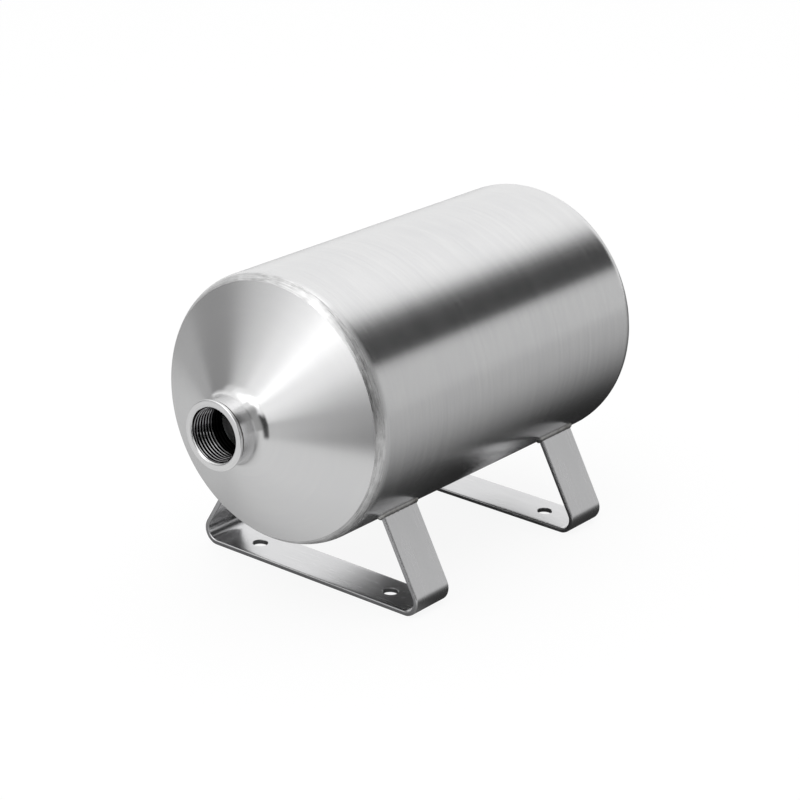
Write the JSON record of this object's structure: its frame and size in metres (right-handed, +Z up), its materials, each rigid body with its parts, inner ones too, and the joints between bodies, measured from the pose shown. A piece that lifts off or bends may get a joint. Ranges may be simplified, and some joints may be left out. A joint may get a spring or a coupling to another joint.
{
  "type": "compressed air tank",
  "caption": "Horizontal stainless steel air reservoir: rolled shell, coned ends with threaded ports, drain socket, bent flat-bar feet with fixing holes.",
  "frame": {"origin": "on the ground plane, below the middle of the tank's axis", "axes": "+Z up, Y along the tank with the front port towards -Y, X across the feet"},
  "size_m": [0.162, 0.339, 0.1945],
  "materials": {
    "shell_steel": "brushed round the shell",
    "head_steel": "brushed round the axis, satin",
    "ground_weld": "ground flush with coarse streaks along the weld",
    "turned_steel": "fine turned",
    "bar_steel": "rolled and brushed along the bar",
    "weld_metal": "rippled, lightly heat tinted"
  },
  "bodies": {
    "root": {"shell": "shell_steel", "shell_seam_weld": "ground_weld", "front_head": "head_steel", "rear_head": "head_steel", "front_girth_weld": "ground_weld", "rear_girth_weld": "ground_weld", "front_port_socket": "turned_steel", "rear_port_socket": "turned_steel", "front_port_weld": "weld_metal", "rear_port_weld": "weld_metal", "drain_socket": "turned_steel", "drain_weld": "weld_metal", "front_foot": "bar_steel", "rear_foot": "bar_steel", "front_foot_weld_left": "weld_metal", "front_foot_weld_right": "weld_metal", "rear_foot_weld_left": "weld_metal", "rear_foot_weld_right": "weld_metal"}
  },
  "joints": []
}
